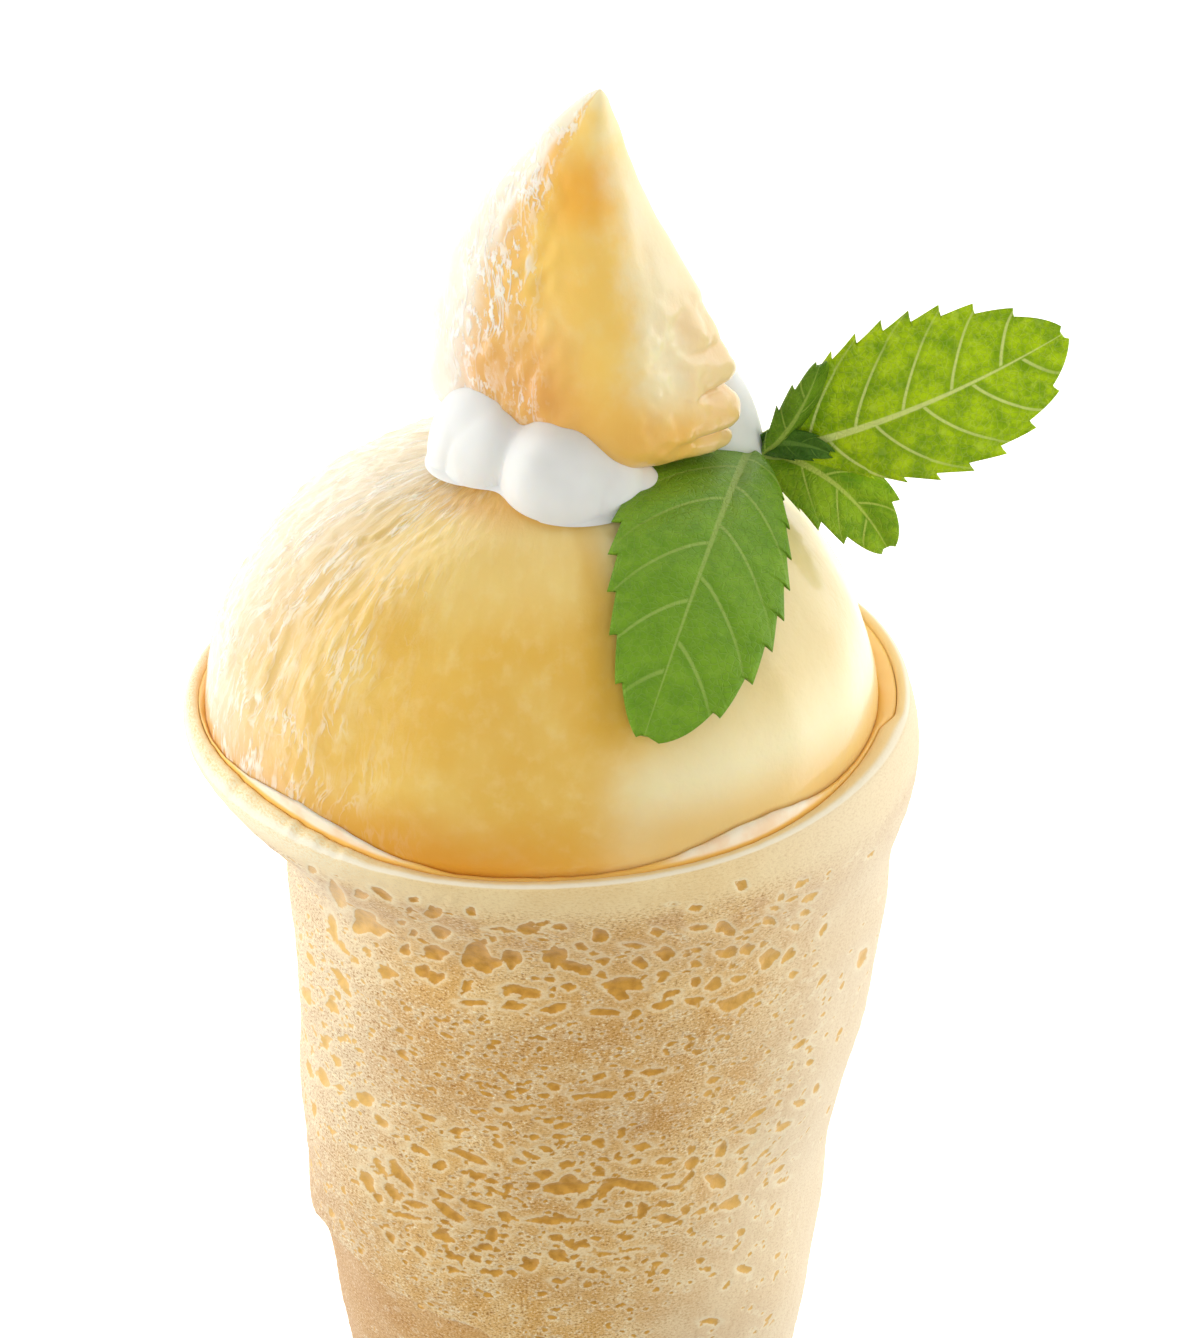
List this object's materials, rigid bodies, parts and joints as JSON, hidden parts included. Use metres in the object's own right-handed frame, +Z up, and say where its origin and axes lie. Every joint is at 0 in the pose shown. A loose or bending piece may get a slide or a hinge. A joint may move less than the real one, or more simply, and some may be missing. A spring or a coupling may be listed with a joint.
{
  "type": "crepe cone",
  "caption": "Thin pitted pancake wound into a cone round cream, with a whole peeled peach in its mouth, topped by whipped cream, a peach slice and a mint sprig, lying on its side.",
  "frame": {"origin": "on the table, in the middle of the small flat that the crepe's belly rests on", "axes": "+Y along the cone on the table, from its folded end to its mouth; +Z up; +X to the side, right when looking from above with the mouth away"},
  "size_m": [0.1009, 0.2626, 0.083],
  "materials": {
    "crepe": "baked crepe: pale lacy web with golden-brown pits, dull",
    "filling": "soft cream, pale, satin",
    "peach": "peeled peach: moist, glossy, slightly clear",
    "peach_slice": "peeled peach, cut: moist, glossy, slightly clear",
    "whipped_cream": "whipped cream, white, satin",
    "mint_sprig": "fresh leaf, green with pale veins, satin"
  },
  "bodies": {
    "root": {"crepe": "crepe", "filling": "filling", "peach": "peach", "peach_slice": "peach_slice", "whipped_cream": "whipped_cream", "mint_sprig": "mint_sprig"}
  },
  "joints": []
}
